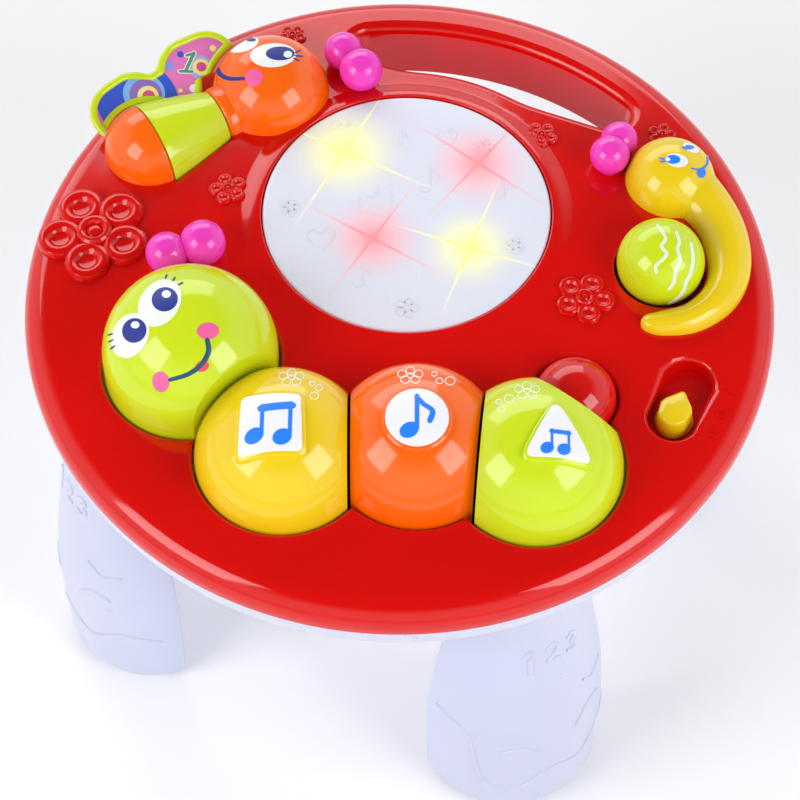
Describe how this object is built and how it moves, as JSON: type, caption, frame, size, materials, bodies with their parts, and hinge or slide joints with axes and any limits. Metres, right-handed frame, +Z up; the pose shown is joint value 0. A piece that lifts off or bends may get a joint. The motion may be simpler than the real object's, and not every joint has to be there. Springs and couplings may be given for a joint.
{
  "type": "musical activity table",
  "caption": "Round child's activity table on four plug-in legs, with domed press keys, lit drum pad, flip wing, spinning ball and slide switch",
  "frame": {"origin": "on the floor below the middle of the round top", "axes": "+Z up; the player sits at -Y, facing +Y; +X is the player's right"},
  "size_m": [0.32, 0.32, 0.2426],
  "materials": {
    "cover_red": "glossy red ABS",
    "tray_white": "satin white polypropylene",
    "steel": "zinc plated",
    "steel_dark": "black passivated",
    "pad_white": "translucent white ABS",
    "reflector_white": "matt white",
    "board_green": "solder-masked board",
    "led_yellow": "clear tinted",
    "led_red": "clear tinted",
    "cone_paper": "pressed paper",
    "key_yellow": "glossy yellow ABS",
    "key_orange": "glossy orange ABS",
    "lime": "glossy lime ABS",
    "label_white": "white ABS",
    "dome_rubber": "conductive rubber",
    "pink": "glossy pink ABS",
    "pin_white": "acetal",
    "switch_black": "moulded case",
    "cell_jacket": "plain printed jacket"
  },
  "bodies": {
    "casing": {"top_cover": "cover_red", "base_shell": "tray_white", "casing_screws": "steel", "light_reflector": "reflector_white", "main_board": "board_green", "yellow_leds": "led_yellow", "red_leds": "led_red", "speaker_frame": "steel_dark", "speaker_cone": "cone_paper", "speaker_magnet": "steel_dark", "key_spring_1": "steel", "key_spring_2": "steel", "key_spring_3": "steel", "head_spring": "steel", "tail_spring": "steel", "pad_springs": "steel", "switch_domes": "dome_rubber", "key_board": "board_green", "head_antennae": "pink", "butterfly_tail": "key_orange", "butterfly_head": "key_orange", "butterfly_antennae": "pink", "wing_pin": "steel", "worm_body": "key_yellow", "worm_antennae": "pink", "ball_spindle": "pin_white", "slide_switch": "switch_black", "batteries": "cell_jacket", "battery_contacts": "steel", "figure_screws": "steel"},
    "key_1": {"key_1": "key_yellow", "key_label_1": "label_white"},
    "key_2": {"key_2": "key_orange", "key_label_2": "label_white"},
    "key_3": {"key_3": "lime", "key_label_3": "label_white"},
    "head": {"head_button": "lime"},
    "tail": {"tail_button": "cover_red"},
    "pad": {"light_pad": "pad_white"},
    "wing": {"wing_page": "lime"},
    "ball": {"spin_ball": "lime"},
    "knob": {"switch_knob": "key_yellow"},
    "door": {"battery_door": "tray_white", "door_screw": "steel"},
    "leg_1": {"leg_1": "tray_white"},
    "leg_2": {"leg_2": "tray_white"},
    "leg_3": {"leg_3": "tray_white"},
    "leg_4": {"leg_4": "tray_white"}
  },
  "joints": [
    {"name": "key_1_press", "type": "slide", "parent": "casing", "child": "key_1", "axis": [0, 0, -1], "range_m": [0, 0.003], "stiffness_N_per_m": 300, "springref_m": -0.002, "deforming": ["key_spring_1"]},
    {"name": "key_2_press", "type": "slide", "parent": "casing", "child": "key_2", "axis": [0, 0, -1], "range_m": [0, 0.003], "stiffness_N_per_m": 300, "springref_m": -0.002, "deforming": ["key_spring_2"]},
    {"name": "key_3_press", "type": "slide", "parent": "casing", "child": "key_3", "axis": [0, 0, -1], "range_m": [0, 0.003], "stiffness_N_per_m": 300, "springref_m": -0.002, "deforming": ["key_spring_3"]},
    {"name": "head_press", "type": "slide", "parent": "casing", "child": "head", "axis": [0, 0, -1], "range_m": [0, 0.0025], "stiffness_N_per_m": 350, "springref_m": -0.002, "deforming": ["head_spring"]},
    {"name": "tail_press", "type": "slide", "parent": "casing", "child": "tail", "axis": [0, 0, -1], "range_m": [0, 0.0025], "stiffness_N_per_m": 200, "springref_m": -0.002, "deforming": ["tail_spring"]},
    {"name": "pad_press", "type": "slide", "parent": "casing", "child": "pad", "axis": [0, 0, -1], "range_m": [0, 0.002], "stiffness_N_per_m": 600, "springref_m": -0.002, "deforming": ["pad_springs"]},
    {"name": "wing_flip", "type": "hinge", "parent": "casing", "child": "wing", "pos_m": [-0.0804, 0.088, 0.196], "axis": [0.8572, 0.515, 0], "range_deg": [0, 140]},
    {"name": "ball_spin", "type": "hinge", "parent": "casing", "child": "ball", "pos_m": [0.1107, 0.0065, 0.2033], "axis": [0, 0, 1], "continuous": true},
    {"name": "switch_slide", "type": "slide", "parent": "casing", "child": "knob", "axis": [0.3972, 0.9178, 0], "range_m": [0, 0.012]},
    {"name": "door_lift", "type": "slide", "parent": "casing", "child": "door", "axis": [0, 0, -1], "range_m": [0, 0.02]},
    {"name": "leg_1_pull", "type": "slide", "parent": "casing", "child": "leg_1", "axis": [0, 0, -1], "range_m": [0, 0.025]},
    {"name": "leg_2_pull", "type": "slide", "parent": "casing", "child": "leg_2", "axis": [0, 0, -1], "range_m": [0, 0.025]},
    {"name": "leg_3_pull", "type": "slide", "parent": "casing", "child": "leg_3", "axis": [0, 0, -1], "range_m": [0, 0.025]},
    {"name": "leg_4_pull", "type": "slide", "parent": "casing", "child": "leg_4", "axis": [0, 0, -1], "range_m": [0, 0.025]}
  ]
}
